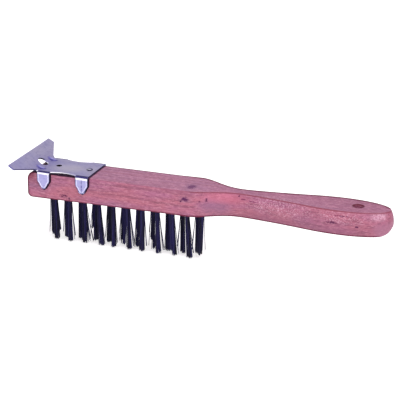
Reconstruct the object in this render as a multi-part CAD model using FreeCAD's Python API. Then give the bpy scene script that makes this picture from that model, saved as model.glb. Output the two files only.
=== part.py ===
import FreeCAD, Part
import math
import os

# Hand wire brush with a scraper: a one-piece wooden block and handle, two staggered rows of
# staple-set steel wire tufts, and a bent sheet-steel scraper clinched and nailed over the toe.
# Millimetres.  +X runs from the scraper to the handle's end, +Y to the brush's left, +Z up.
# The origin lies under the middle of the whole brush, on the plane of the bristle tips.

V = FreeCAD.Vector
X_AXIS = V(1, 0, 0)
Y_AXIS = V(0, 1, 0)
Z_AXIS = V(0, 0, 1)

# ---- driving dimensions ---------------------------------------------------------------------
wood_length = 256.4
block_width = 30.2
block_length = 118.4          # from the toe to where the sides start to narrow
trim = 34.3                   # free bristle length at the middle of the block
toe_thickness = 19.2
heel_thickness = 18.3
grip_thickness = 17.0
toe_top_round = 6.0
toe_bottom_round = 3.5
arris_round = 1.0             # softened edges of the block's two sides
arris_sharp = 0.05            # the same edges where they meet the handle
arris_fade = 16.0             # length over which they sharpen
grip_top_drop = 0.7           # how far the handle's top lies below the block's
grip_ease = 30.0              # length behind the heel over which the wood thins
grip_bulge = 2.2              # how far the rounded handle sides stand out past the flats
bulge_growth = 21.0           # length behind the heel over which the sides round up
grip_peak = 222.4             # distance from the toe to the handle's widest place
grip_half_width = 15.0
end_bottom_round = 8.4        # round along the underside of the handle's end
hang_hole_r = 3.9
hang_hole_from_end = 24.1
blank_spare = 2.0             # how far the wood's blanks run past the finished handle

# Control points of the smooth curve along each side of the handle, from the heel to its widest
# place: distance from the toe, half width.
handle_side = [
    (block_length, block_width / 2),
    (122.4, block_width / 2),
    (128.4, 13.2),
    (135.4, 10.3),
    (142.4, 8.1),
    (150.4, 6.3),
    (162.4, 7.3),
    (178.4, 9.2),
    (196.4, 12.1),
    (210.4, grip_half_width),
    (grip_peak, grip_half_width),
]

tufts_per_row = 11
tuft_pitch = 10.93
first_tuft = 16.05            # distance from the toe to the right-hand row's first tuft
row_offset = 3.3              # each row's distance from the centre line
tuft_hole_r = 1.8
tuft_hole_depth = 11.5
tuft_root_r = 1.7
tuft_tip_r = 2.15
anchor_length = 4.8
anchor_height = 1.9
anchor_thickness = 0.45
anchor_rise = 2.2             # from the hole's floor down to the anchor's middle
fit_gap = 0.03
tool_reach = 5.0              # how far a cutting tool starts outside the face that it enters

sheet = 1.1
bend_from_toe = 8.2
blade_angle = 31.0
blade_length = 14.7           # flat part of the blade, from the bend to its edge
blade_half_width = 33.0
blade_side = 4.8              # short straight side at each end of the cutting edge
blade_draft = 0.4             # how far each short side leans in towards the cutting edge
bend_inner_r = 3.0
neck_half_width = 14.6        # across the bend
neck_run = 1.8                # from the bend up to where the flare begins
plate_half_width = 16.6
plate_end = 46.4              # plate's trailing edge, from the toe
tab_width = 9.3
tab_drop = 12.6
tab_straight = 5.4
tab_inner_r = 0.5
tab_starts = (8.3, 37.1)      # each tab's edge nearer to the toe
tab_tips = ((0.31, 0.58), (0.42, 0.63))   # half widths low down, as shares of the tab's own
tab_tip_rises = (0.1, 0.4)    # heights of those places, as shares of the tapering part
waist_depth = 3.6             # how far the plate's sides draw in between the tabs
bend_hole_r = 4.1
bend_hole_up = 2.1            # up the blade from the end of the bend
front_hole_from_toe = 17.8
front_hole_r = 2.0
pilot_hole_r = 2.0            # blind hole in the wood under the plate's front hole
pilot_depth = 9.0
nail_from_toe = 41.0
nail_shank_r = 1.0
nail_head_r = 2.15
nail_head = 0.55
nail_head_round = 0.33
nail_length = 15.0
nail_point = 2.4
nail_point_r = 0.15
nail_hole_spare = 0.5
rib_half_spacing = 9.7
rib_r = 1.1
rib_sink = 0.45               # how deep each rib's centre line lies in the sheet
rib_on_plate = 1.6            # how far each rib reaches over the plate
rib_on_blade = 2.2            # and up the blade

# ---- derived places -------------------------------------------------------------------------
slope = math.radians(blade_angle)
blade_up = V(-math.cos(slope), 0, math.sin(slope))
blade_under = V(-math.sin(slope), 0, -math.cos(slope))
bend_setback = bend_inner_r * math.tan(slope / 2)
blade_depth = blade_length * math.cos(slope) + (bend_inner_r + sheet) * math.sin(slope)
blade_overhang = blade_depth - bend_setback - bend_from_toe
toe_x = (blade_overhang - wood_length) / 2
end_x = toe_x + wood_length
heel_x = toe_x + block_length
hang_x = end_x - hang_hole_from_end

top_z = trim + (toe_thickness + heel_thickness) / 2
plate_top = top_z + sheet
toe_bottom_z = top_z - toe_thickness
heel_bottom_z = top_z - heel_thickness
grip_top_z = top_z - grip_top_drop
grip_bottom_z = grip_top_z - grip_thickness
grip_mid_z = (grip_top_z + grip_bottom_z) / 2


def wood_bottom_z(x):
    """Height of the block's underside, which rises a little from toe to heel."""
    return toe_bottom_z + (heel_bottom_z - toe_bottom_z) * (x - toe_x) / block_length


def solid_of(shape):
    """The single solid of a boolean result, with split faces merged."""
    return shape.removeSplitter().Solids[0]


def cylinder(radius, bottom, top, x, y):
    return Part.makeCylinder(radius, top - bottom, V(x, y, bottom), Z_AXIS)


# ---- wooden block and handle ----------------------------------------------------------------
def bulge_inset(z):
    """How far the rounded side of the handle has drawn in at height z."""
    half = grip_thickness / 2
    radius = (half ** 2 + grip_bulge ** 2) / (2 * grip_bulge)
    return radius - math.sqrt(radius ** 2 - (z - grip_mid_z) ** 2)


def handle_outline(z):
    """Closed plan outline of the handle at height z, drawn in by the roundness of its sides."""
    inset = bulge_inset(z)
    poles = []
    for from_toe, half_width in handle_side:
        share = min(1.0, (from_toe - block_length) / bulge_growth)
        poles.append(V(toe_x + from_toe, inset * share ** 2 - half_width, z))
    curve = Part.BSplineCurve()
    curve.buildFromPoles(poles)
    near = curve.toShape()
    far = near.mirror(V(0, 0, 0), Y_AXIS)
    peak = V(toe_x + grip_peak, 0, z)
    oval = Part.Ellipse(peak, wood_length - grip_peak - inset, grip_half_width - inset)
    end = Part.ArcOfEllipse(oval, -math.pi / 2, math.pi / 2).toShape()
    closing = Part.makeLine(V(heel_x, block_width / 2, z), V(heel_x, -block_width / 2, z))
    return Part.Wire([near, end, far, closing])


def handle_blank():
    """Handle with rounded sides, taller than it ends up."""
    reach = grip_thickness / 2 + blank_spare
    levels = [grip_mid_z + reach * share for share in (-1, -0.75, -0.5, -0.25, 0, 0.25, 0.5, 0.75, 1)]
    return Part.makeLoft([handle_outline(z) for z in levels], True, False)


def side_profile():
    """Side view of the whole wood: rounded toe, flat block, slightly thinner handle."""
    r_top = toe_top_round
    r_bottom = toe_bottom_round
    lean = math.sqrt(0.5)
    low_start = V(toe_x + r_bottom, 0, wood_bottom_z(toe_x + r_bottom))
    low_side = V(toe_x, 0, low_start.z + r_bottom)
    low_mid = V(toe_x + r_bottom * (1 - lean), 0, low_start.z + r_bottom * (1 - lean))
    high_side = V(toe_x, 0, top_z - r_top)
    high_mid = V(toe_x + r_top * (1 - lean), 0, top_z - r_top * (1 - lean))
    high_start = V(toe_x + r_top, 0, top_z)
    heel_top = V(heel_x, 0, top_z)
    grip_top = V(heel_x + grip_ease, 0, grip_top_z)
    end_top = V(end_x + blank_spare, 0, grip_top_z)
    end_side = V(end_x + blank_spare, 0, grip_bottom_z + end_bottom_round)
    end_front = V(end_x, 0, grip_bottom_z + end_bottom_round)
    end_mid = V(end_x - end_bottom_round * (1 - lean), 0, grip_bottom_z + end_bottom_round * (1 - lean))
    end_bottom = V(end_x - end_bottom_round, 0, grip_bottom_z)
    grip_bottom = V(heel_x + grip_ease, 0, grip_bottom_z)
    heel_bottom = V(heel_x, 0, wood_bottom_z(heel_x))
    top_ease = Part.BSplineCurve()
    top_ease.interpolate(Points=[heel_top, grip_top], InitialTangent=X_AXIS, FinalTangent=X_AXIS)
    bottom_ease = Part.BSplineCurve()
    bottom_ease.interpolate(Points=[grip_bottom, heel_bottom],
                            InitialTangent=-X_AXIS, FinalTangent=low_start - heel_bottom)
    edges = [
        Part.Arc(low_start, low_mid, low_side).toShape(),
        Part.makeLine(low_side, high_side),
        Part.Arc(high_side, high_mid, high_start).toShape(),
        Part.makeLine(high_start, heel_top),
        top_ease.toShape(),
        Part.makeLine(grip_top, end_top),
        Part.makeLine(end_top, end_side),
        Part.makeLine(end_side, end_front),
        Part.Arc(end_front, end_mid, end_bottom).toShape(),
        Part.makeLine(end_bottom, grip_bottom),
        bottom_ease.toShape(),
        Part.makeLine(heel_bottom, low_start),
    ]
    face = Part.Face(Part.Wire(edges))
    face.translate(V(0, -block_width, 0))
    return face.extrude(V(0, 2 * block_width, 0))


def block_part(start_x, stop_x, profile):
    """Stretch of the block between two places, with the wood's side profile."""
    reach = grip_thickness / 2 + blank_spare
    corner = V(start_x, -block_width / 2, grip_mid_z - reach)
    return Part.makeBox(stop_x - start_x, block_width, 2 * reach, corner).common(profile)


def side_edges(shape, least_length):
    """Edges of a stretch of the block that bound its two sides, apart from its cut ends."""
    return [e for e in shape.Edges
            if abs(abs(e.CenterOfMass.y) - block_width / 2) < 0.01
            and e.BoundBox.XLength + e.BoundBox.ZLength > least_length
            and not (e.BoundBox.XLength < 0.01 and e.CenterOfMass.x > toe_x + 1)]


def wood_blank():
    """Block with softened edges that sharpen towards the heel, joined to the shaped handle."""
    profile = side_profile()
    fade_x = heel_x - arris_fade
    main = block_part(toe_x, fade_x, profile)
    main = main.makeFillet(arris_round, side_edges(main, 1))
    heel = block_part(fade_x, heel_x, profile)
    upper = [e for e in side_edges(heel, 1) if e.CenterOfMass.z > grip_mid_z]
    heel = heel.makeFillet(arris_sharp, arris_round, upper)
    lower = [e for e in side_edges(heel, 1) if e.CenterOfMass.z < grip_mid_z
             and e.BoundBox.YLength < 0.01]
    heel = heel.makeFillet(arris_round, arris_sharp, lower)
    handle = handle_blank().common(profile)
    return solid_of(main.fuse([heel, handle]))


def tuft_places():
    """Name and centre of every tuft: the left row is set half a pitch towards the toe."""
    places = []
    for number in range(tufts_per_row):
        x = toe_x + first_tuft + tuft_pitch * number
        places.append((f"right_{number + 1:02d}", x, -row_offset))
        places.append((f"left_{number + 1:02d}", x - tuft_pitch / 2, row_offset))
    return places


def hole_floor_z(x):
    return wood_bottom_z(x) + tuft_hole_depth


def handle_block():
    """The wood, with its hanging hole, tuft holes, nail hole and the open pilot hole."""
    wood = wood_blank()
    nail_floor = plate_top - nail_length - nail_hole_spare
    above = top_z + tool_reach
    cuts = [
        cylinder(hang_hole_r, trim - tool_reach, above, hang_x, 0),
        cylinder(pilot_hole_r, top_z - pilot_depth, above, toe_x + front_hole_from_toe, 0),
        cylinder(nail_shank_r + fit_gap, nail_floor, above, toe_x + nail_from_toe, 0),
    ]
    for _, x, y in tuft_places():
        cuts.append(cylinder(tuft_hole_r, trim - tool_reach, hole_floor_z(x), x, y))
        cuts.append(anchor_body(x, y, fit_gap))
    return solid_of(wood.cut(Part.makeCompound(cuts)))


# ---- tufts and their anchors ----------------------------------------------------------------
def anchor_body(x, y, extra):
    """Flat piece of anchor wire that pins a folded tuft, grown by extra all round."""
    mid_z = hole_floor_z(x) - anchor_rise
    size = (anchor_thickness + 2 * extra, anchor_length + 2 * extra, anchor_height + 2 * extra)
    corner = V(x - size[0] / 2, y - size[1] / 2, mid_z - size[2] / 2)
    return Part.makeBox(*size, corner)


def tuft(x, y):
    """Bundle of wires folded over its anchor: straight in the hole, spreading below it."""
    mouth = wood_bottom_z(x)
    root = cylinder(tuft_root_r, mouth, hole_floor_z(x) - fit_gap, x, y)
    spread = Part.makeCone(tuft_tip_r, tuft_root_r, mouth, V(x, y, 0), Z_AXIS)
    return solid_of(root.fuse(spread).cut(anchor_body(x, y, fit_gap)))


# ---- scraper --------------------------------------------------------------------------------
bend_x = toe_x + bend_from_toe + bend_setback
bend_centre = V(bend_x, 0, plate_top + bend_inner_r)
blade_foot = bend_centre + blade_under * bend_inner_r
plate_end_x = toe_x + plate_end


def blade_point(up, y):
    """Point on the blade's upper face, up from the end of the bend and y across."""
    return blade_foot + blade_up * up + V(0, y, 0)


def mirrored_polygon(points):
    """Face whose outline is the given half, on the +Y side, and its mirror image."""
    other = [V(p.x, -p.y, p.z) for p in reversed(points)]
    return Part.Face(Part.makePolygon(points + other + [points[0]]))


def blade():
    half = [
        blade_point(0, neck_half_width),
        blade_point(neck_run, plate_half_width),
        blade_point(blade_length - blade_side, blade_half_width),
        blade_point(blade_length, blade_half_width - blade_draft),
    ]
    return mirrored_polygon(half).extrude(blade_under * sheet)


def bend():
    """Curved strip between the plate and the blade."""
    corners = [
        V(bend_x, -neck_half_width, plate_top),
        V(bend_x, neck_half_width, plate_top),
        V(bend_x, neck_half_width, top_z),
        V(bend_x, -neck_half_width, top_z),
    ]
    strip = Part.Face(Part.makePolygon(corners + [corners[0]]))
    return strip.revolve(bend_centre, Y_AXIS, blade_angle)


def plate():
    """Flat part over the wood, up to the folds of its tabs and waisted between them."""
    half = plate_half_width - tab_inner_r - sheet
    waist_start = toe_x + tab_starts[0] + tab_width
    waist_end = toe_x + tab_starts[1]
    flat = Part.makeBox(plate_end_x - bend_x, 2 * half, sheet, V(bend_x, -half, top_z))
    chord = waist_end - waist_start
    depth = waist_depth - (plate_half_width - half)
    radius = (chord ** 2 / 4 + depth ** 2) / (2 * depth)
    mid_x = (waist_start + waist_end) / 2
    waists = [cylinder(radius, top_z - tool_reach, top_z + tool_reach, mid_x, s * (half - depth + radius))
              for s in (-1, 1)]
    return flat.cut(Part.makeCompound(waists))


def tab(start_x, side, tip_widths):
    """Tongue bent down over one side of the wood; side is -1 or +1."""
    half = plate_half_width - tab_inner_r - sheet
    fold_y = side * half
    fold_z = top_z - tab_inner_r
    strip = Part.Face(Part.makePolygon([
        V(start_x, fold_y, top_z),
        V(start_x + tab_width, fold_y, top_z),
        V(start_x + tab_width, fold_y, plate_top),
        V(start_x, fold_y, plate_top),
        V(start_x, fold_y, top_z),
    ]))
    fold = strip.revolve(V(start_x, fold_y, fold_z), V(-side, 0, 0), 90)
    mid_x = start_x + tab_width / 2
    outer_y = side * plate_half_width
    straight_z = plate_top - tab_straight
    tip_z = plate_top - tab_drop
    width = tab_width / 2
    points = [V(mid_x, outer_y, tip_z)]
    for share, rise in zip(tip_widths + (1,), tab_tip_rises + (1,)):
        z = tip_z + (straight_z - tip_z) * rise
        points.insert(0, V(mid_x - width * share, outer_y, z))
        points.append(V(mid_x + width * share, outer_y, z))
    curve = Part.BSplineCurve()
    curve.interpolate(Points=points, InitialTangent=-Z_AXIS, FinalTangent=Z_AXIS)
    outline = Part.Wire([
        Part.makeLine(V(mid_x - width, outer_y, fold_z), V(mid_x - width, outer_y, straight_z)),
        curve.toShape(),
        Part.makeLine(V(mid_x + width, outer_y, straight_z), V(mid_x + width, outer_y, fold_z)),
        Part.makeLine(V(mid_x + width, outer_y, fold_z), V(mid_x - width, outer_y, fold_z)),
    ])
    tongue = Part.Face(outline).extrude(V(0, -side * sheet, 0))
    return fold.fuse(tongue)


def stiffening_rib(y):
    """Round-ended bar across the inside of the bend, cut off flush with the plate's underside."""
    low = V(bend_x + rib_on_plate, y, plate_top - rib_sink)
    high = blade_point(rib_on_blade, y) + blade_under * rib_sink
    along = high - low
    bar = Part.makeCylinder(rib_r, along.Length, low, along)
    bar = bar.fuse([Part.makeSphere(rib_r, low), Part.makeSphere(rib_r, high)])
    below = V(toe_x - tool_reach, -block_width, top_z - tool_reach)
    return bar.cut(Part.makeBox(block_length, 2 * block_width, tool_reach, below))


def scraper_plate():
    """The bent sheet with its four tabs, two ribs and three holes."""
    body = plate().fuse([bend(), blade()])
    for start, tip_widths in zip(tab_starts, tab_tips):
        for side in (-1, 1):
            body = body.fuse(tab(toe_x + start, side, tip_widths))
    for side in (-1, 1):
        body = body.fuse(stiffening_rib(side * rib_half_spacing))
    low = top_z - tool_reach
    high = top_z + tool_reach
    bend_hole_start = blade_point(bend_hole_up, 0) - blade_under * tool_reach
    holes = [
        Part.makeCylinder(bend_hole_r, 2 * tool_reach, bend_hole_start, blade_under),
        cylinder(front_hole_r, low, high, toe_x + front_hole_from_toe, 0),
        cylinder(nail_shank_r + fit_gap, low, high, toe_x + nail_from_toe, 0),
    ]
    return solid_of(body.cut(Part.makeCompound(holes)))


def scraper_nail():
    """Flat-headed nail, with a short point, that holds the plate's trailing half down."""
    x = toe_x + nail_from_toe
    low = plate_top - nail_length
    shank = cylinder(nail_shank_r, low + nail_point, plate_top, x, 0)
    tip = Part.makeCone(nail_point_r, nail_shank_r, nail_point, V(x, 0, low), Z_AXIS)
    head = cylinder(nail_head_r, plate_top, plate_top + nail_head, x, 0)
    rim = [e for e in head.Edges
           if isinstance(e.Curve, Part.Circle) and e.CenterOfMass.z > plate_top + nail_head / 2]
    head = head.makeFillet(nail_head_round, rim)
    return solid_of(shank.fuse([tip, head]))


# ---- write every piece ----------------------------------------------------------------------
pieces = {
    "handle_block": handle_block(),
    "scraper_plate": scraper_plate(),
    "scraper_nail": scraper_nail(),
}
for place, x, y in tuft_places():
    pieces["tuft_" + place] = tuft(x, y)
    pieces["anchor_" + place] = solid_of(anchor_body(x, y, 0))

os.makedirs("parts", exist_ok=True)
for node, shape in pieces.items():
    shape.exportStep(f"parts/{node}.step")
    print(node, "valid" if shape.isValid() else "INVALID", round(shape.Volume, 1))
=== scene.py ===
import bpy
import math
import random
from mathutils import Matrix, Vector


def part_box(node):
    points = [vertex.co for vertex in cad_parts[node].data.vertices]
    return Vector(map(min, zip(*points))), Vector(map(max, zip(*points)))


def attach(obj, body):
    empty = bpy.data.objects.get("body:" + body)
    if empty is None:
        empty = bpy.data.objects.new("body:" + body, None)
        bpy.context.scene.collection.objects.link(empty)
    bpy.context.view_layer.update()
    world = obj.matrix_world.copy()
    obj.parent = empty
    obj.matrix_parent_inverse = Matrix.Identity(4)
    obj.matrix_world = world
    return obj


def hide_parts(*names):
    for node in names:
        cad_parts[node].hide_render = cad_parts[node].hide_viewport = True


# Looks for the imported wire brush: stained wood, plated scraper and real wire tufts, on a pale
# floor.  Metres, in the frame of the CAD model: +X to the handle's end, +Y across, +Z up.
# Places on the wood and the scraper are given in millimetres: from the wood's toe, y, z.

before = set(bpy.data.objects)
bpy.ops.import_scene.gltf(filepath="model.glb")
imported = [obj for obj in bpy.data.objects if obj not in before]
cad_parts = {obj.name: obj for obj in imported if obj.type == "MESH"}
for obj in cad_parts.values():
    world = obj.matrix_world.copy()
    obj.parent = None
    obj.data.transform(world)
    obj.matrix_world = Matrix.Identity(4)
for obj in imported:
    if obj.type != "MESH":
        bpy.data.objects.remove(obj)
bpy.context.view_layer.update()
MM = 0.001

wood_low, wood_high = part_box("handle_block")
nail_low, nail_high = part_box("scraper_nail")
TOE_X = wood_low.x
TOP_Z = wood_high.z
SHEET = 1.1 * MM
PLATE_TOP = TOP_Z + SHEET


def place(from_toe, y, z):
    """Point in metres for a distance from the toe, y and z in millimetres."""
    return Vector((TOE_X + from_toe * MM, y * MM, z * MM))


def x_at(from_toe):
    """X of a distance from the toe in millimetres."""
    return place(from_toe, 0, 0).x


def metres(millimetres):
    return [value * MM for value in millimetres]


# ---- node helpers ---------------------------------------------------------------------------
class Nodes:
    """A material's node tree, with short calls for the nodes that the materials share.

    A mask is a number from 0 to 1 that changes over the surface.  nx, ny and nz tell which way
    the surface faces: nz is 1 where it looks up and -1 where it looks down.
    """

    def __init__(self, name):
        self.material = bpy.data.materials.new(name)
        self.material.use_nodes = True
        self.tree = self.material.node_tree
        self.tree.nodes.clear()
        self.output = self.tree.nodes.new("ShaderNodeOutputMaterial")
        self.shader = self.tree.nodes.new("ShaderNodeBsdfPrincipled")
        self.link(self.shader.outputs["BSDF"], self.output.inputs["Surface"])
        coordinates = self.tree.nodes.new("ShaderNodeTexCoord")
        self.place = coordinates.outputs["Object"]
        self.x, self.y, self.z = self.split(self.place)
        normal = self.tree.nodes.new("ShaderNodeNewGeometry").outputs["Normal"]
        self.nx, self.ny, self.nz = self.split(normal)

    def link(self, source, target):
        self.tree.links.new(source, target)

    def put(self, node, socket, value):
        """Sets an input to a number or a colour, or links it if value is a node's output."""
        target = node.inputs[socket]
        if isinstance(value, bpy.types.NodeSocket):
            self.link(value, target)
        elif value is not None:
            target.default_value = value

    def split(self, vector):
        node = self.tree.nodes.new("ShaderNodeSeparateXYZ")
        self.link(vector, node.inputs[0])
        return node.outputs[0], node.outputs[1], node.outputs[2]

    def stretched(self, scale, rotation=(0, 0, 0), location=(0, 0, 0)):
        """Coordinates scaled along each axis, then turned and moved."""
        node = self.tree.nodes.new("ShaderNodeMapping")
        self.put(node, "Vector", self.place)
        self.put(node, "Scale", scale)
        self.put(node, "Rotation", rotation)
        self.put(node, "Location", location)
        return node.outputs["Vector"]

    def noise(self, scale, detail, roughness=0.5, rotation=(0, 0, 0)):
        """Noise with the given features per metre along each axis."""
        node = self.tree.nodes.new("ShaderNodeTexNoise")
        self.put(node, "Vector", self.stretched(scale, rotation))
        self.put(node, "Scale", 1.0)
        self.put(node, "Detail", detail)
        self.put(node, "Roughness", roughness)
        return node.outputs["Fac"]

    def noises(self, table):
        """A noise for each row of a table, by name."""
        return {name: self.noise(*row) for name, row in table.items()}

    def ramp(self, value, low, high, to_low=0.0, to_high=1.0):
        """Smooth step of value from low to high; low may be the larger of the two."""
        node = self.tree.nodes.new("ShaderNodeMapRange")
        node.interpolation_type = "SMOOTHSTEP"
        self.put(node, "Value", value)
        self.put(node, "From Min", low)
        self.put(node, "From Max", high)
        self.put(node, "To Min", to_low)
        self.put(node, "To Max", to_high)
        return node.outputs["Result"]

    def along(self, start, end, at_start=0.0, at_end=1.0):
        """Smooth step between two distances from the toe in millimetres."""
        return self.ramp(self.x, x_at(start), x_at(end), at_start, at_end)

    def level(self, low, high):
        """Smooth step between two heights in millimetres above the wood's top."""
        return self.ramp(self.z, TOP_Z + low * MM, TOP_Z + high * MM)

    def path(self, value, points, scale=1.0):
        """Smooth steps through points, held level beyond its ends."""
        result = points[0][1] * scale
        for (start, low), (end, high) in zip(points, points[1:]):
            step = self.ramp(value, start, end, 0.0, (high - low) * scale)
            result = self.maths("ADD", result, step)
        return result

    def maths(self, operation, first, second=None):
        """Result of one maths node."""
        node = self.tree.nodes.new("ShaderNodeMath")
        node.operation = operation
        self.put(node, 0, first)
        self.put(node, 1, second)
        return node.outputs["Value"]

    def less(self, first, second):
        return self.maths("SUBTRACT", first, second)

    def both(self, *masks):
        """Product of masks and shares."""
        result = masks[0]
        for mask in masks[1:]:
            result = self.maths("MULTIPLY", result, mask)
        return result

    def either(self, *masks):
        """Largest of masks."""
        result = masks[0]
        for mask in masks[1:]:
            result = self.maths("MAXIMUM", result, mask)
        return result

    def band(self, value, low, high, soft):
        """1 where value lies between low and high, with soft borders."""
        return self.both(self.ramp(value, low - soft, low + soft),
                         self.ramp(value, high + soft, high - soft))

    def spot(self, centre, radii, soft, wobble=None):
        """1 inside an ellipsoid whose centre is in metres and whose radii are in millimetres."""
        scale = [1 / (r * MM) for r in radii]
        where = self.stretched(scale, location=[-c * s for c, s in zip(centre, scale)])
        node = self.tree.nodes.new("ShaderNodeVectorMath")
        node.operation = "LENGTH"
        self.link(where, node.inputs[0])
        length = node.outputs["Value"]
        if wobble is not None:
            length = self.maths("ADD", length, wobble)
        return self.ramp(length, 1 + soft, 1 - soft)

    def blot(self, where, radii, soft, wobble=None):
        """A spot whose centre is a place in millimetres from the toe."""
        return self.spot(place(*where), radii, soft, wobble)

    def mix(self, share, first, second):
        """First colour where share is 0, second where it is 1."""
        node = self.tree.nodes.new("ShaderNodeMix")
        node.data_type = "RGBA"
        self.put(node, "Factor", share)
        colours = [s for s in node.inputs if s.type == "RGBA"]
        for socket, value in zip(colours, (first, second)):
            if isinstance(value, bpy.types.NodeSocket):
                self.link(value, socket)
            else:
                socket.default_value = (*value, 1.0)
        return [s for s in node.outputs if s.type == "RGBA"][0]

    def paint(self, base, colour, *masks):
        """Base covered with a colour by the product of masks and shares."""
        return self.mix(self.both(*masks), base, colour)

    def bump(self, height, strength, distance):
        node = self.tree.nodes.new("ShaderNodeBump")
        self.put(node, "Height", height)
        self.put(node, "Strength", strength)
        self.put(node, "Distance", distance)
        return node.outputs["Normal"]

    def finish(self, **values):
        """Sets the shader's inputs, named with _ for a space, and returns the material."""
        for socket, value in values.items():
            self.put(self.shader, socket.replace("_", " "), value)
        return self.material


# ---- places on the scraper ------------------------------------------------------------------
TABS_FROM_TOE = ((8.3, 17.6), (37.1, 46.4))
TAB_STRAIGHT_Z = PLATE_TOP - 5.4 * MM     # down to here the tabs' sides are straight
TAB_TIP_Z = PLATE_TOP - 12.6 * MM
TAB_TIP_SOFT = 0.1 * MM
TAB_TAPER = ((0.0, 0.0), (0.1, 0.36), (0.4, 0.6), (1.0, 1.0))   # share of height, share of width
FOLD_Y = 15.0 * MM                        # where the tabs' folds begin
PLATE_END_FROM_TOE = 46.4
FRONT_HOLE_FROM_TOE = 17.8
FRONT_HOLE_R = 2.0
RIBS = ((8.3, -9.7), (8.3, 9.7))          # from the toe, y


def tab_margins(n, lower=0.0):
    """Distances in metres by which a place lies inside each tab's outline, seen from the side.

    The outlines can be carried on lower by a distance in millimetres.
    """
    margins = []
    for start, end in TABS_FROM_TOE:
        half = (end - start) / 2 * MM
        aside = n.maths("ABSOLUTE", n.less(n.x, x_at((start + end) / 2)))
        tip = TAB_TIP_Z - lower * MM
        rise = n.ramp(n.z, tip, TAB_STRAIGHT_Z)
        width = n.path(rise, TAB_TAPER, half)
        below_tip = n.ramp(n.z, tip + TAB_TIP_SOFT, tip, 0.0, half)
        margins.append(n.less(n.less(width, aside), below_tip))
    return margins


# ---- wood -----------------------------------------------------------------------------------
SALMON = (0.372, 0.102, 0.153)
ROSE = (0.315, 0.092, 0.176)
PLUM = (0.210, 0.085, 0.165)
TOP_PINK = (0.300, 0.112, 0.190)
TOP_PLUM = (0.255, 0.103, 0.188)
HANDLE_TONE_AND_SHADE = (0.215, 0.050, 0.108)
DARK_GRAIN = (0.170, 0.038, 0.078)
PALE_GRAIN = (0.47, 0.190, 0.260)
PORE = (0.080, 0.014, 0.036)
SHEEN_PINK = (0.66, 0.40, 0.50)
EDGE_SHADE = (0.095, 0.012, 0.030)
RED_EDGE = (0.165, 0.020, 0.045)
NECK_HIGHLIGHT = (0.560, 0.130, 0.190)
CONTACT_SHADE = (0.006, 0.003, 0.010)
KNOT = (0.048, 0.010, 0.062)
MARK = (0.034, 0.006, 0.040)

# Textures: features per metre along x, y and z, detail, roughness.
WOOD_TEXTURES = {
    "patch": ((24, 70, 110), 4, 0.55),
    "haze": ((11, 60, 60), 3, 0.5),
    "streaks": ((14, 500, 620), 5, 0.7),
    "fine": ((330, 900, 1100), 3, 0.75),
    "pores": ((110, 1900, 2400), 2, 0.5),
    "speck": ((1100, 1100, 1100), 2, 0.7),
    "flecks": ((900, 900, 900), 2, 0.7),
}
# Grain: texture, its values where the colour sets in and is full, shares there, colour.
GRAIN = (
    ("streaks", (0.46, 0.64), (0.0, 0.66), DARK_GRAIN),
    ("fine", (0.50, 0.68), (0.0, 0.60), DARK_GRAIN),
    ("fine", (0.48, 0.34), (0.0, 0.62), PALE_GRAIN),
    ("pores", (0.62, 0.70), (0.0, 0.6), PORE),
)
GRAIN_RELIEF = 0.6            # height of the streaks in the bump
PORE_RELIEF = 0.5             # depth of the pores in the bump
WOOD_BUMP = (0.45, 0.00012)   # strength, distance in metres
WOOD_ROUGHNESS = (0.40, 0.62)
SHEEN_POLISH = -0.06          # change of roughness where the handle's side has the painted sheen
# Specular level of the plain wood, and where painted shade, knots and marks lie.
PLAIN_GLOSS, SHADE_AND_MARK_GLOSS = 0.5, 0.05

# Places of painted shade, painted sheen and painted highlight: place, radii in millimetres,
# softness.
SHADED_NECK = ((136, -10, 41.0), (11, 9, 7), 0.5)
GRIP_SHEEN = (((181, -10, 48), (26, 9, 6.5), 0.5), ((226, -15, 48), (18, 6, 4), 0.5))
END_HIGHLIGHT = ((248.5, -9.5, 49.6), (5, 5, 2.6), 0.6)
LIT_NECK = ((143, -8, 48.6), (17, 8, 3.6), 0.5)
SHADED_TOE = ((1.5, -15, 49.5), (4.5, 5, 3.2), 0.6)
HOLE_RIM = ((232.3, 0, 52), (4.35, 4.35, 40), 0.06)

# Stretches of the wood in millimetres, from none of an effect to the whole of it.
DARK_HANDLE_RUN = (125, 165)
LOW_SIDE_Z = (42.5, 38)
LOW_SIDE_RUN = (150, 170)
LOW_SIDE_STOP = (238, 226)
END_TINT_RUN = (243, 249)
END_TINT_Z = (47, 43)
HEEL_RUN = (118, 148)         # over which the wood's top drops to the handle's
HEEL_DROP = 0.7 * MM
ARRIS_RUN = (112, 122)
ARRIS_BELOW_TOP = (1.1, 0.5)
RIM_STOP = (251, 246)
RIM_HEIGHT = (1.3, 0.8)       # above the lowest edge
TOE_EDGE_RUN = (1.9, 0.9)
TOE_ROUND_BAND = 1.2          # width of the band of painted shade round the toe's corners
FAR_EDGE_BAND = (2.4, 1.7)    # inside the far edge of the top
UNDER_PLATE_LEVEL = (-1.2, -0.7)
UNDER_PLATE_RUN = (4.5, 6)
BEHIND_PLATE_RUN = (PLATE_END_FROM_TOE + 1.3, PLATE_END_FROM_TOE + 0.7)
BEHIND_PLATE_LEVEL = (-1.0, -0.6)
TAB_SHADOW_BAND = (-1.0, -0.5)
TAB_SHADOW_LOWER = 1.2
TAB_SHADOW_LEVEL = (-0.3, -0.5)

# Half width of the wood's top, against the distance from the toe, in millimetres.
TOP_EDGE = (
    (118.4, 15.1), (122.4, 14.8), (128.4, 12.7), (134.4, 9.9), (140.4, 7.1), (150.4, 4.75),
    (160.4, 4.95), (180.4, 7.3), (200.4, 10.65), (210.4, 12.2), (220.4, 12.8), (235.4, 11.9),
    (245.4, 9.3), (253.4, 4.2),
)
# Height of the wood's lowest edge, against the distance from the toe, in millimetres.
LOW_EDGE = ((3.0, 33.9), (118.4, 34.74), (128.4, 34.95), (140.4, 35.25), (150.4, 35.35))
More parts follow.
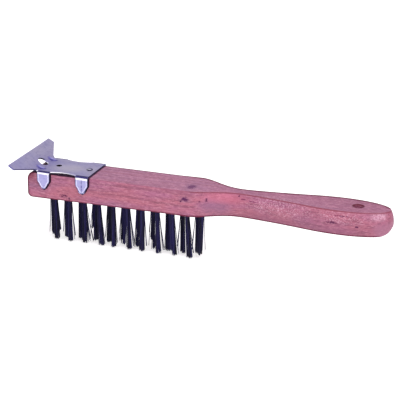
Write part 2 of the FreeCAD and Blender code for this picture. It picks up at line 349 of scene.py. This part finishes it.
# Rounds of the toe's upper and lower edges: radius, direction and height of the face.
TOE_ROUNDS = ((6.0, 1, 53.05), (3.5, -1, 33.85))

# Knots and small dark marks: place, radii in millimetres, share of colour.
KNOTS = (
    ((116.9, -14.3, 47.1), (2.5, 1.8, 1.45), 0.85),
    ((118.4, -5.4, 52.9), (2.7, 4.4, 1.2), 0.62),
)
MARKS = (
    ((113.7, -14.3, 45.0), (0.6, 1.0, 0.5), 0.85),
    ((131.0, -12.6, 47.3), (0.75, 1.5, 0.8), 0.8),
    ((126.6, -13.6, 46.2), (0.5, 1.0, 0.4), 0.6),
    ((27.2, -14.3, 38.1), (2.0, 1.2, 0.7), 0.8),
    ((31.1, -14.3, 36.2), (1.2, 1.2, 0.7), 0.8),
    ((152.2, -6.4, 50.8), (0.45, 1.6, 0.5), 0.8),
    ((155.1, -6.6, 48.8), (1.3, 1.4, 0.3), 0.5),
    ((161.6, -7.0, 48.3), (2.4, 1.4, 0.3), 0.5),
    ((218.2, -14.9, 44.3), (2.3, 1.4, 0.6), 0.72),
    ((235.3, -14.7, 42.9), (1.4, 1.4, 0.45), 0.75),
    ((225.4, -14.6, 49.1), (4.5, 1.4, 0.3), 0.5),
)
RAGGED = 3.4                  # how far the flecks break up a mark's outline
KNOT_RAGGED = 0.6             # share of that for a knot
KNOT_HALO = 1.9               # size of a knot's halo, against its core
KNOT_HALO_SHARE = 0.4
MARK_SPREAD = 1.35


def stain(n, grain, top):
    """Stain and grain of the wood, with painted shade, painted sheen and painted highlights."""
    patch, haze, speck = grain["patch"], grain["haze"], grain["speck"]
    side = n.mix(n.ramp(patch, 0.36, 0.64), SALMON, ROSE)
    side = n.paint(side, PLUM, n.ramp(haze, 0.5, 0.68), n.ramp(patch, 0.4, 0.6))
    # The top faces get a purpler colour: the wood's tone with a painted sheen of the sky on it.
    flat = n.mix(n.ramp(haze, 0.36, 0.66), TOP_PINK, TOP_PLUM)
    base = n.mix(top, side, flat)
    # Darker red towards the handle.
    base = n.paint(base, HANDLE_TONE_AND_SHADE, n.along(*DARK_HANDLE_RUN, 0.0, 0.35))
    for name, values, shares, colour in GRAIN:
        base = n.paint(base, colour, n.ramp(grain[name], *values, *shares))

    # Painted purple shade where the side turns in to the neck, painted sheen on the handle's
    # side, and a painted highlight at its end.
    base = n.paint(base, PLUM, n.blot(*SHADED_NECK), n.ramp(patch, 0.3, 0.6, 0.25, 0.6))
    sheened = n.either(*(n.blot(*spot) for spot in GRIP_SHEEN))
    base = n.paint(base, SHEEN_PINK, sheened, n.ramp(speck, 0.50, 0.62, 0.0, 0.42))
    base = n.paint(base, SHEEN_PINK, n.blot(*END_HIGHLIGHT), n.ramp(speck, 0.40, 0.62, 0.12, 0.6))

    # Painted shade on the low side of the handle, a painted highlight on the neck's upper side,
    # and a cooler end.
    shaded_low_side = n.both(n.ramp(n.z, *metres(LOW_SIDE_Z)), n.along(*LOW_SIDE_RUN),
                        n.along(*LOW_SIDE_STOP))
    base = n.paint(base, HANDLE_TONE_AND_SHADE, shaded_low_side, 0.45)
    # Painted highlight on the neck's upper side.
    base = n.paint(base, NECK_HIGHLIGHT, n.blot(*LIT_NECK), 0.33)
    end_tint = n.both(n.along(*END_TINT_RUN), n.ramp(n.z, *metres(END_TINT_Z)))
    return n.paint(base, TOP_PINK, end_tint, 0.6), sheened


def toe_corners(n):
    """Bands of painted shade along the toe's rounded corners, on the side faces and the edge of
    the round.
    """
    corners = []
    for radius, sign, z in TOE_ROUNDS:
        centre_z = z - sign * radius
        within = radius - TOE_ROUND_BAND
        inside = n.blot((radius, 0, centre_z), (within, 60, within), 0.08)
        past = n.both(n.less(n.z, centre_z * MM), sign)
        corners.append(n.both(n.less(1.0, inside), n.along(radius, radius - 0.5),
                              n.ramp(past, 0.0, 0.5 * MM), n.ramp(n.nx, -0.9, -0.75),
                              n.ramp(n.nz, 0.85, 0.6)))
    return corners


def dark_outline(n, top):
    """Rims of painted shade: lowest edge, toe, and far edge of the top."""
    lowest = n.path(n.x, [(x_at(x), z * MM) for x, z in LOW_EDGE])
    rim = n.both(n.ramp(n.less(n.z, lowest), *metres(RIM_HEIGHT)), n.along(*RIM_STOP),
                 n.ramp(n.nz, -0.97, -0.85))
    toe = n.either(n.both(n.along(*TOE_EDGE_RUN), n.ramp(n.nx, -0.95, -0.6)),
                   n.both(n.blot(*SHADED_TOE), 0.6), *toe_corners(n))
    from_edge = n.less(n.path(n.x, [(x_at(x), y * MM) for x, y in TOP_EDGE]), n.y)
    far = n.both(n.ramp(from_edge, *metres(FAR_EDGE_BAND)), top)
    return n.either(rim, toe, far)


def scraper_shadow(n):
    """Painted contact shadow close round the scraper."""
    under_edge = n.both(n.level(*UNDER_PLATE_LEVEL),
                        n.along(PLATE_END_FROM_TOE, PLATE_END_FROM_TOE - 0.4),
                        n.along(*UNDER_PLATE_RUN))
    behind_edge = n.both(n.along(*BEHIND_PLATE_RUN), n.level(*BEHIND_PLATE_LEVEL))
    round_tabs = n.either(*(n.ramp(margin, *metres(TAB_SHADOW_BAND))
                            for margin in tab_margins(n, TAB_SHADOW_LOWER)))
    beside_tabs = n.both(round_tabs, n.ramp(n.nz, 0.8, 0.5), n.level(*TAB_SHADOW_LEVEL))
    return n.either(beside_tabs, under_edge, n.both(behind_edge, 0.85))


def stained_wood():
    n = Nodes("stained_wood")
    grain = n.noises(WOOD_TEXTURES)
    top = n.ramp(n.nz, 0.45, 0.9)
    base, sheened = stain(n, grain, top)

    # Darker red along the sharp arrises; painted shade along the rims and round the hang hole's
    # rim.
    surface = n.along(*HEEL_RUN, TOP_Z, TOP_Z - HEEL_DROP)
    below_top = n.less(surface, n.z)
    arris = n.both(n.ramp(below_top, *metres(ARRIS_BELOW_TOP)), n.ramp(n.nz, 0.8, 0.4),
                   n.along(*ARRIS_RUN))
    base = n.paint(base, RED_EDGE, arris, n.ramp(grain["haze"], 0.2, 0.6, 0.6, 0.9))
    # Painted shade round the hang hole's rim.
    base = n.paint(base, EDGE_SHADE, n.blot(*HOLE_RIM), top, 0.7)
    outline = dark_outline(n, top)
    base = n.paint(base, EDGE_SHADE, outline, 0.85)
    # Painted contact shadow round the scraper.
    contact_shadow = scraper_shadow(n)
    base = n.paint(base, CONTACT_SHADE, contact_shadow, 0.96)

    ragged = n.both(n.less(grain["flecks"], 0.5), RAGGED)
    shade_and_marks = n.either(contact_shadow, outline)
    for where, radii, share in KNOTS:
        halo = n.blot(where, [r * KNOT_HALO for r in radii], 0.6)
        base = n.paint(base, PLUM, halo, KNOT_HALO_SHARE)
        core = n.blot(where, radii, 0.5, n.both(ragged, KNOT_RAGGED))
        base = n.paint(base, KNOT, core, share)
        shade_and_marks = n.either(shade_and_marks, core)
    for where, radii, share in MARKS:
        mark = n.blot(where, [r * MARK_SPREAD for r in radii], 0.4, ragged)
        base = n.paint(base, MARK, mark, share)
        shade_and_marks = n.either(shade_and_marks, mark)

    height = n.less(n.both(grain["streaks"], GRAIN_RELIEF), n.both(grain["pores"], PORE_RELIEF))
    shine = n.maths("ADD", n.ramp(grain["fine"], 0.2, 0.8, *WOOD_ROUGHNESS),
                    n.both(sheened, SHEEN_POLISH))
    # Less specular where shade is painted, and on knots and marks.
    gloss = n.ramp(shade_and_marks, 0.0, 1.0, PLAIN_GLOSS, SHADE_AND_MARK_GLOSS)
    return n.finish(Base_Color=base, Roughness=shine, Specular_IOR_Level=gloss,
                    Normal=n.bump(height, *WOOD_BUMP))


# ---- metal ----------------------------------------------------------------------------------
ZINC_PALE, ZINC_DEEP = (0.485, 0.445, 0.640), (0.385, 0.360, 0.590)
WALL_PALE, WALL_DEEP = (0.41, 0.39, 0.63), (0.36, 0.35, 0.60)
MOTTLED = (0.27, 0.245, 0.46)
FINE_SCRATCH = (0.60, 0.56, 0.72)
BEND_BLUE = (0.27, 0.24, 0.52)
WASHED_OUT = (0.62, 0.57, 0.66)
FOLD_HIGHLIGHT = (0.97, 0.96, 1.0)
EDGE_HIGHLIGHT = (0.97, 0.95, 1.0)
CREASE_SHADE = (0.020, 0.016, 0.110)
CUT_EDGE_SHADE = (0.008, 0.006, 0.016)
UNDERSIDE_SHADE = (0.05, 0.042, 0.15)
BLADE_END_SHADE = (0.085, 0.075, 0.27)
TAB_EDGE_HIGHLIGHT = (0.82, 0.80, 0.97)
TAB_OUTLINE_SHADE = (0.03, 0.024, 0.11)
RIB_SHADE = (0.075, 0.062, 0.27)
RIB_SHINE = (0.37, 0.35, 0.62)
HOLE_SHADE = (0.004, 0.004, 0.008)
TAB_SCRATCH = (0.06, 0.05, 0.20)

SHEET_TEXTURES = {
    "cloud": ((55, 55, 55), 4, 0.5),
    "mottle": ((420, 420, 420), 3, 0.6),
    "scratches": ((2400, 90, 500), 2, 0.5, (0, 0, 0.5)),
}
SHEET_BUMP = (0.15, 0.00005)
SHEET_ROUGHNESS = (0.36, 0.50)
RIB_ROUGHNESS = 0.8

# Places on the scraper: place, radii in millimetres, softness.
BLUE_BEND = ((9, 0, 54.5), (9, 22, 5), 0.6)
PALE_PATCH = ((27, -2, 54), (10, 7, 3), 0.7)
FRONT_HOLE = ((FRONT_HOLE_FROM_TOE, 0, 53.5), (FRONT_HOLE_R + 0.12, FRONT_HOLE_R + 0.12, 40),
              0.02)
SCRATCHED_TAB = ((sum(TABS_FROM_TOE[1]) / 2, -16.6, 47.4), (0.45, 1.0, 4.2), 0.5)
RIB_HEIGHT = 0.5 * MM         # of the centres of the ribs' painted shade and highlight above the plate's top
RIB_AROUND = ((4.2, 2.1, 3.4), 0.2)
RIB_INSIDE = ((2.8, 0.75, 2.4), 0.3)

# Heights of a fold, where its painted highlight lies, in millimetres above the wood's top, at
# the first tab and the last.
FOLD_TOP = (0.42, -0.05)
FOLD_BOTTOM = (-0.75, -1.5)
EDGE_HIGHLIGHT_RUN = (26, 36)           # along which the cut edge's painted highlight fades
BLADE_END_RUN = (1, -1)


def edge_between_tabs(n, across):
    """The plate's cut edge between and beyond its tabs."""
    return n.both(n.ramp(n.nz, 0.5, 0.3), n.ramp(n.nz, -0.3, -0.1), n.ramp(n.nx, 0.7, 0.4),
                  n.ramp(across, FOLD_Y + 0.2 * MM, FOLD_Y - 0.1 * MM), n.level(0, 0.02),
                  n.ramp(n.z, PLATE_TOP + 0.1 * MM, PLATE_TOP - 0.05 * MM))


def tab_folds(n, base, across, above):
    """Painted highlights on the tabs' folds, with painted shade along a crease above each."""
    beside_tabs = n.either(*(n.band(n.x, x_at(start), x_at(end), 0.2 * MM)
                             for start, end in TABS_FROM_TOE))
    fold_bottom = n.along(TABS_FROM_TOE[0][0], TABS_FROM_TOE[1][1],
                          *(TOP_Z + height for height in metres(FOLD_BOTTOM)))
    fold = n.both(n.ramp(above, 0.12 * MM, -0.12 * MM),
                  n.ramp(n.less(n.z, fold_bottom), -0.2 * MM, 0.2 * MM),
                  n.ramp(across, FOLD_Y, FOLD_Y + 0.3 * MM), beside_tabs)
    base = n.paint(base, FOLD_HIGHLIGHT, fold, 0.95)
    crease = n.both(n.ramp(across, FOLD_Y - 0.9 * MM, FOLD_Y - 0.3 * MM), beside_tabs,
                    n.ramp(above, -0.12 * MM, 0.12 * MM))
    return n.paint(base, CREASE_SHADE, crease, 0.93)


def tab_outlines(n, base, across, above, mottle):
    """A painted shade outline round each tab, and a line of painted highlight inside it."""
    below_fold = n.both(n.ramp(above, 0.0, -0.2 * MM),
                        n.ramp(across, FOLD_Y + 0.8 * MM, FOLD_Y + 1.0 * MM))
    for margin in tab_margins(n):
        width = n.ramp(n.z, TAB_TIP_Z + 1.0 * MM, TAB_STRAIGHT_Z, 0.02 * MM, 0.42 * MM)
        inward = n.less(margin, width)
        edge_highlight = n.both(n.ramp(inward, 0.0, 0.25 * MM), n.ramp(inward, 1.1 * MM, 0.7 * MM),
                          below_fold)
        base = n.paint(base, TAB_EDGE_HIGHLIGHT, edge_highlight, n.ramp(mottle, 0.40, 0.52, 0.25, 0.65))
        outline = n.both(n.ramp(inward, 0.1 * MM, -0.15 * MM),
                         n.ramp(margin, -0.9 * MM, -0.6 * MM), below_fold)
        base = n.paint(base, TAB_OUTLINE_SHADE, outline, 0.8)
    return base


def plated_sheet():
    n = Nodes("plated_sheet")
    plating = n.noises(SHEET_TEXTURES)
    cloud, mottle, scratches = plating["cloud"], plating["mottle"], plating["scratches"]
    flat = n.mix(n.ramp(cloud, 0.32, 0.68), ZINC_PALE, ZINC_DEEP)
    # The side walls get darker, bluer colours than the flat zinc: painted shade.
    shaded_wall = n.mix(n.ramp(cloud, 0.3, 0.7), WALL_PALE, WALL_DEEP)
    base = n.mix(n.ramp(n.nz, 0.35, 0.75), shaded_wall, flat)
    base = n.paint(base, MOTTLED, n.ramp(mottle, 0.48, 0.66, 0.0, 0.45))
    base = n.paint(base, FINE_SCRATCH, n.ramp(scratches, 0.58, 0.75, 0.0, 0.35))

    # Bluer metal round the bend, and a paler patch behind it.
    base = n.paint(base, BEND_BLUE, n.blot(*BLUE_BEND), 0.45)
    base = n.paint(base, WASHED_OUT, n.blot(*PALE_PATCH), 0.45)

    across = n.maths("ABSOLUTE", n.y)
    fold_top = n.along(TABS_FROM_TOE[0][0], TABS_FROM_TOE[1][1],
                       *(TOP_Z + height for height in metres(FOLD_TOP)))
    above = n.less(n.z, fold_top)
    base = tab_folds(n, base, across, above)

    # Painted highlight along the top of the cut edge between the tabs, and painted shade below
    # it.
    between = edge_between_tabs(n, across)
    base = n.paint(base, EDGE_HIGHLIGHT, between, n.level(0.4, 0.6), n.along(*EDGE_HIGHLIGHT_RUN, 0.95, 0.35))
    base = n.paint(base, CUT_EDGE_SHADE, between, n.level(0.6, 0.4))
    # Painted shade on faces that look down or towards +X, and on the blade's near end.
    shaded_faces = n.either(n.ramp(n.nz, -0.1, -0.35), n.ramp(n.nx, 0.55, 0.8))
    base = n.paint(base, UNDERSIDE_SHADE, shaded_faces, 0.85)
    base = n.paint(base, BLADE_END_SHADE, n.ramp(n.ny, -0.45, -0.75), n.along(*BLADE_END_RUN), 0.8)
    base = tab_outlines(n, base, across, above, mottle)

    # Painted shade round the ribs with a painted highlight inside, painted shade on the wall of
    # the front hole, and a scratch on a tab.
    round_ribs = []
    for from_toe, y in RIBS:
        centre = Vector((x_at(from_toe), y * MM, PLATE_TOP + RIB_HEIGHT))
        around = n.spot(centre, *RIB_AROUND)
        base = n.paint(base, RIB_SHADE, around, 0.62)
        base = n.paint(base, RIB_SHINE, n.spot(centre, *RIB_INSIDE), 0.85)
        round_ribs.append(around)
    base = n.paint(base, HOLE_SHADE, n.blot(*FRONT_HOLE), n.ramp(n.nz, 0.6, 0.3))
    base = n.paint(base, TAB_SCRATCH, n.blot(*SCRATCHED_TAB), n.ramp(mottle, 0.36, 0.50), 0.7)
    rough = n.either(n.ramp(cloud, 0.3, 0.7, *SHEET_ROUGHNESS),
                     n.both(n.either(*round_ribs), RIB_ROUGHNESS))
    return n.finish(Base_Color=base, Metallic=1.0, Roughness=rough,
                    Normal=n.bump(scratches, *SHEET_BUMP))


STEEL_TEXTURE = ((500, 500, 500), 3)
STEEL_ROUGHNESS = (0.3, 0.5)
NAIL_PALE, NAIL_DEEP = (0.20, 0.18, 0.35), (0.15, 0.13, 0.28)
NAIL_HIGHLIGHT = (0.93, 0.92, 1.0)
NAIL_RIM_SHADE = (0.008, 0.007, 0.025)
HIGHLIGHT_ASIDE = (-0.2, -1.0)    # x and y of the painted highlight on the nail's head, from its middle
HIGHLIGHT_RADII = (1.7, 0.6, 6)
RIM_ASIDE = (0.9, 0.3)        # y over which painted shade darkens the nail's rim, from its middle
ANCHOR_PALE, ANCHOR_DEEP = (0.50, 0.47, 0.55), (0.34, 0.31, 0.38)


def nail_steel():
    n = Nodes("nail_steel")
    cloud = n.noise(*STEEL_TEXTURE)
    middle = (nail_low + nail_high) / 2
    aside_x, aside_y = metres(HIGHLIGHT_ASIDE)
    highlight = n.spot(Vector((middle.x + aside_x, middle.y + aside_y, nail_high.z)),
                   HIGHLIGHT_RADII, 0.3)
    dark = n.mix(n.ramp(cloud, 0.3, 0.7), NAIL_PALE, NAIL_DEEP)
    # Painted highlight on the head, and painted shade on the near side of its rim.
    base = n.paint(dark, NAIL_HIGHLIGHT, highlight)
    near_side = n.ramp(n.y, *(middle.y + y for y in metres(RIM_ASIDE)))
    base = n.paint(base, NAIL_RIM_SHADE, n.ramp(n.nz, 0.85, 0.6), near_side)
    return n.finish(Base_Color=base, Metallic=1.0,
                    Roughness=n.ramp(cloud, 0.3, 0.7, *STEEL_ROUGHNESS))


def anchor_steel():
    n = Nodes("anchor_steel")
    cloud = n.noise(*STEEL_TEXTURE)
    return n.finish(Base_Color=n.mix(cloud, ANCHOR_PALE, ANCHOR_DEEP), Metallic=1.0,
                    Roughness=n.ramp(cloud, 0.3, 0.7, *STEEL_ROUGHNESS))


WIRE_TEXTURES = {
    "strand": ((2200, 2200, 25), 2),
    "along": ((900, 900, 120), 3),
    "broad": ((560, 560, 12), 2),
}
WIRE_BLACK, WIRE_DARK = (0.0035, 0.0028, 0.016), (0.0085, 0.0068, 0.042)
WIRE_BLUE = (0.016, 0.012, 0.088)
WIRE_GLINT = (0.05, 0.05, 0.12)
WIRE_ROUGHNESS = (0.5, 0.65)
WIRE_METALLIC = 0.3           # low, as the wire is dark and dull
WIRE_GLOSS = 0.3


def bristle_wire():
    n = Nodes("bristle_wire")
    wear = n.noises(WIRE_TEXTURES)
    base = n.mix(n.ramp(wear["along"], 0.35, 0.65), WIRE_BLACK, WIRE_DARK)
    base = n.paint(base, WIRE_BLUE, n.ramp(wear["broad"], 0.48, 0.60, 0.0, 0.9))
    base = n.paint(base, WIRE_GLINT, n.ramp(wear["strand"], 0.60, 0.74, 0.0, 0.45))
    return n.finish(Base_Color=base, Metallic=WIRE_METALLIC, Specular_IOR_Level=WIRE_GLOSS,
                    Roughness=n.ramp(wear["along"], 0.3, 0.7, *WIRE_ROUGHNESS))


# ---- wire tufts -----------------------------------------------------------------------------
WIRE_RADIUS = 0.19 * MM
HAIRPINS = 32                 # folded wires in a tuft: each has two legs
TUBE_SIDES = 6
BUNDLE_RADIUS = 1.45 * MM     # spread of the wires' middles in the hole
MOUTH_Z = 34.3 * MM           # about where the tufts leave the wood
FIRST_SEED = 100              # each tuft has a seed of its own

# Shape of a wire, in millimetres. A spread is the standard deviation of a random length.
TIP_SPREAD = 0.33
BOW_SPREAD = 0.15
TRIM_SPREAD = 0.9
TRIM_GAP = 0.3                # of the longest wires above the floor
TILT_SPREAD = 0.3             # lean of a whole tuft across the brush
SPLAY = (0.18, 0.36)          # how far a tuft opens, as a share of its radius
SHORT_SIDE = 0.25             # share of the radius past which a wire is on the short side
SHORT_SHARES = (0.75, 1.1)    # of the length that the short side lacks
STRAY_TRIM = (0.0, 4.0)       # how far a stray wire ends above the others
FOLD_ACROSS = (-1.2, 1.2)     # where a wire crosses the anchor
FOLD_BELOW = (0.25, 0.95)     # the fold, below the tuft's top
FOLD_HALF = 0.45              # half width of the fold over the anchor
FOLD_DROP = 0.35
GATHER_DROP = 3.2             # below the fold the legs run almost at their spread in the hole
GATHER = 0.85
SHARES = (0.2, 0.4, 0.6, 0.8, 1.0)    # places along the free length
CURL = 1.3                    # above 1, a wire leans more and more towards its tip

# Lean of each tuft's tips along the brush in millimetres, from the toe backwards.
LEANS = {
    "right": (1.3, 0.3, 0.2, 2.3, 0.3, 1.5, -0.3, 1.1, 1.5, 2.4, -1.0),
    "left": (0.8, 0.6, 0.0, -0.5, 0.0, -0.8, -0.6, 0.2, 0.0, 0.2, 0.5),
}
# Tufts with one side trimmed short: which side, how far in millimetres.
SHORT = {
    "right_01": (1, 7.0), "left_04": (-1, 11.0), "left_08": (-1, 8.0), "left_10": (-1, 1.0),
    "right_11": (1, 4.0), "left_06": (-1, 3.0), "right_09": (-1, 3.5), "left_01": (-1, 2.0),
}
# Tufts trimmed short as a whole, in millimetres.
TRIMMED = {"right_11": 2.8, "left_11": 1.5}
# Single wires that stand away from their tuft: offsets of their tips along the brush.
STRAYS = {
    "left_01": (-2.7, -2.5, -2.3), "right_01": (3.4, 3.1), "left_02": (-3.0, -2.8, -2.6),
    "right_02": (3.6, 3.9, 3.3), "right_03": (4.2, 4.45, 6.6, 6.85, 3.4, 3.6),
    "left_05": (-3.4, -3.1), "right_05": (3.2, 3.0), "left_06": (-3.8, -3.5, -3.3),
    "right_06": (5.4, 5.2, 4.4, 4.1), "left_07": (-3.0, -2.8), "right_08": (5.0, 5.25, 4.4),
    "right_07": (3.3, 2.9), "left_08": (-3.2, -3.0, -2.8), "right_09": (5.0, 4.8),
    "left_10": (-4.0, -3.7, -3.4), "right_10": (5.2, 4.9), "left_11": (-3.6, -3.9, -4.2),
    "right_11": (2.6,), "left_04": (-3.9, -3.6),
}


def tube(points, radius, vertices, faces):
    """Adds a closed tube along points to the lists."""
    first = len(vertices)
    count = len(points)
    aside = None
    for i, point in enumerate(points):
        ahead = points[min(i + 1, count - 1)] - points[max(i - 1, 0)]
        ahead.normalize()
        if aside is None:
            aside = ahead.orthogonal().normalized()
        aside = (aside - ahead * aside.dot(ahead)).normalized()
        other = ahead.cross(aside)
        for k in range(TUBE_SIDES):
            turn = 2 * math.pi * k / TUBE_SIDES
            offset = aside * math.cos(turn) + other * math.sin(turn)
            vertices.append(point + offset * radius)
    for i in range(count - 1):
        for k in range(TUBE_SIDES):
            a = first + i * TUBE_SIDES + k
            b = first + i * TUBE_SIDES + (k + 1) % TUBE_SIDES
            faces.append((a, b, b + TUBE_SIDES, a + TUBE_SIDES))
    faces.append(tuple(first + k for k in reversed(range(TUBE_SIDES))))
    last = first + (count - 1) * TUBE_SIDES
    faces.append(tuple(last + k for k in range(TUBE_SIDES)))


def leg(rng, side, fold, centre, manner):
    """Points of one leg of a hairpin, from the fold over the anchor down to its trimmed tip."""
    radius = BUNDLE_RADIUS * math.sqrt(rng.random())
    turn = rng.uniform(-math.pi / 2, math.pi / 2)
    out = Vector((side * abs(math.cos(turn)), math.sin(turn), 0)) * radius
    stray = Vector((rng.gauss(0, TIP_SPREAD), rng.gauss(0, TIP_SPREAD), 0)) * MM
    bow = Vector((rng.gauss(0, BOW_SPREAD), rng.gauss(0, BOW_SPREAD), 0)) * MM
    tip_z = (TRIM_GAP + manner["trimmed"] + abs(rng.gauss(0, TRIM_SPREAD))) * MM
    short_side, short = manner["short"]
    if short_side * out.x > SHORT_SIDE * BUNDLE_RADIUS:
        tip_z += short * MM * rng.uniform(*SHORT_SHARES)
    lean = Vector((manner["lean"] * MM, manner["tilt"] * MM, 0))
    spread = out * manner["splay"] + stray + lean
    if manner["strays"] and manner["strays"][0] * side > 0:
        out = Vector((side * BUNDLE_RADIUS, 0, 0))
        bow = Vector()
        spread = Vector((manner["strays"].pop(0) * MM - out.x, 0, 0))
        tip_z += rng.uniform(*STRAY_TRIM) * MM
    points = [
        fold,
        fold + Vector((side * FOLD_HALF * MM, 0, -FOLD_DROP * MM)),
        Vector((centre.x, centre.y, fold.z - GATHER_DROP * MM)) + out * GATHER,
        Vector((centre.x, centre.y, MOUTH_Z)) + out,
    ]
    for share in SHARES:
        spot = Vector((centre.x, centre.y, MOUTH_Z + (tip_z - MOUTH_Z) * share)) + out
        spot += spread * share ** CURL + bow * math.sin(math.pi * share)
        points.append(spot)
    return points


def tuft(node, rng):
    """The separate wires of one tuft, in the room that its CAD solid holds."""
    name = node.removeprefix("tuft_")
    row, number = name.split("_")
    low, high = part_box(node)
    centre = (low + high) / 2
    manner = {
        "lean": LEANS[row][int(number) - 1],
        "tilt": rng.gauss(0, TILT_SPREAD),
        "splay": rng.uniform(*SPLAY),
        "short": SHORT.get(name, (0, 0)),
        "trimmed": TRIMMED.get(name, 0.0),
        "strays": list(STRAYS.get(name, ())),
    }
    vertices, faces = [], []
    for _ in range(HAIRPINS):
        fold = Vector((centre.x, centre.y + rng.uniform(*FOLD_ACROSS) * MM,
                       high.z - rng.uniform(*FOLD_BELOW) * MM))
        right = leg(rng, 1, fold, centre, manner)
        left = leg(rng, -1, fold, centre, manner)
        tube(list(reversed(left)) + right[1:], WIRE_RADIUS, vertices, faces)
    mesh = bpy.data.meshes.new(node + "_wires")
    mesh.from_pydata(vertices, [], faces)
    mesh.shade_smooth()
    piece = bpy.data.objects.new(node + "_wires", mesh)
    bpy.context.scene.collection.objects.link(piece)
    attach(piece, "root")
    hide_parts(node)
    return piece


# ---- dress the CAD nodes and add the wires --------------------------------------------------
def dress(node, material):
    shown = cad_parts[node]
    shown.data.materials.clear()
    shown.data.materials.append(material)


wire = bristle_wire()
anchor = anchor_steel()
dress("handle_block", stained_wood())
dress("scraper_plate", plated_sheet())
dress("scraper_nail", nail_steel())
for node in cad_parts:
    if node.startswith("anchor_"):
        dress(node, anchor)
for number, node in enumerate(sorted(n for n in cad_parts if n.startswith("tuft_"))):
    tuft(node, random.Random(FIRST_SEED + number)).data.materials.append(wire)


# ---- floor, light and camera ----------------------------------------------------------------
FLOOR_ALBEDO = 0.62
FLOOR_GLOW = 0.56
FLOOR_ROUGHNESS = 0.9
FLOOR_HALF = 4.0
SOFT_WHITE = (1.0, 0.98, 1.0)
SKY_STRENGTH = 0.70
# Lights: azimuth, elevation, distance, size, power.
LIGHTS = {
    "key": (45, 50, 1.6, 1.0, 14),
    "top": (10, 82, 1.3, 0.7, 6),
    "fill": (-35, 40, 1.6, 1.2, 4),
}
CAMERA_AZIMUTH = 18.6
CAMERA_ELEVATION = 20.0
CAMERA_ROLL = 0.86
CAMERA_DISTANCE = 0.956
CAMERA_LENS = 126.0
CAMERA_SENSOR = 36.0
CAMERA_CLIP = (0.05, 20.0)
CAMERA_TARGET = (122.50, 0, 42.2)


def pale_floor():
    mesh = bpy.data.meshes.new("floor")
    size = FLOOR_HALF
    corners = [(-size, -size, 0), (size, -size, 0), (size, size, 0), (-size, size, 0)]
    mesh.from_pydata(corners, [], [(0, 1, 2, 3)])
    floor = bpy.data.objects.new("floor", mesh)
    bpy.context.scene.collection.objects.link(floor)
    n = Nodes("pale_floor")
    mesh.materials.append(n.finish(
        Base_Color=(FLOOR_ALBEDO,) * 3 + (1,), Roughness=FLOOR_ROUGHNESS,
        Emission_Color=(1, 1, 1, 1), Emission_Strength=FLOOR_GLOW))


def towards(azimuth, elevation):
    """Direction from the brush in degrees: azimuth 0 is on the -Y side, 90 on the +X side."""
    a, e = math.radians(azimuth), math.radians(elevation)
    return Vector((math.sin(a) * math.cos(e), -math.cos(a) * math.cos(e), math.sin(e)))


def area_light(name, azimuth, elevation, distance, size, power):
    """Soft light that faces the brush."""
    data = bpy.data.lights.new(name, "AREA")
    data.size = size
    data.energy = power
    data.color = SOFT_WHITE
    lamp = bpy.data.objects.new(name, data)
    bpy.context.scene.collection.objects.link(lamp)
    away = towards(azimuth, elevation)
    lamp.location = away * distance
    lamp.rotation_euler = away.to_track_quat("Z", "Y").to_euler()


def studio():
    world = bpy.data.worlds.new("studio")
    bpy.context.scene.world = world
    world.use_nodes = True
    sky = world.node_tree.nodes["Background"]
    sky.inputs["Color"].default_value = (*SOFT_WHITE, 1)
    sky.inputs["Strength"].default_value = SKY_STRENGTH
    for name, values in LIGHTS.items():
        area_light(name, *values)
    bpy.context.scene.view_settings.view_transform = "Standard"


def camera():
    data = bpy.data.cameras.new("camera")
    data.lens = CAMERA_LENS
    data.sensor_width = CAMERA_SENSOR
    data.clip_start, data.clip_end = CAMERA_CLIP
    body = bpy.data.objects.new("camera", data)
    bpy.context.scene.collection.objects.link(body)
    away = towards(CAMERA_AZIMUTH, CAMERA_ELEVATION)
    right = (-away).cross(Vector((0, 0, 1))).normalized()
    up = right.cross(-away)
    roll = math.radians(CAMERA_ROLL)
    turned = right * math.cos(roll) + up * math.sin(roll)
    upright = up * math.cos(roll) - right * math.sin(roll)
    axes = Matrix((turned, upright, away)).transposed().to_4x4()
    axes.translation = place(*CAMERA_TARGET) + away * CAMERA_DISTANCE
    body.matrix_world = axes
    bpy.context.scene.camera = body


pale_floor()
studio()
camera()
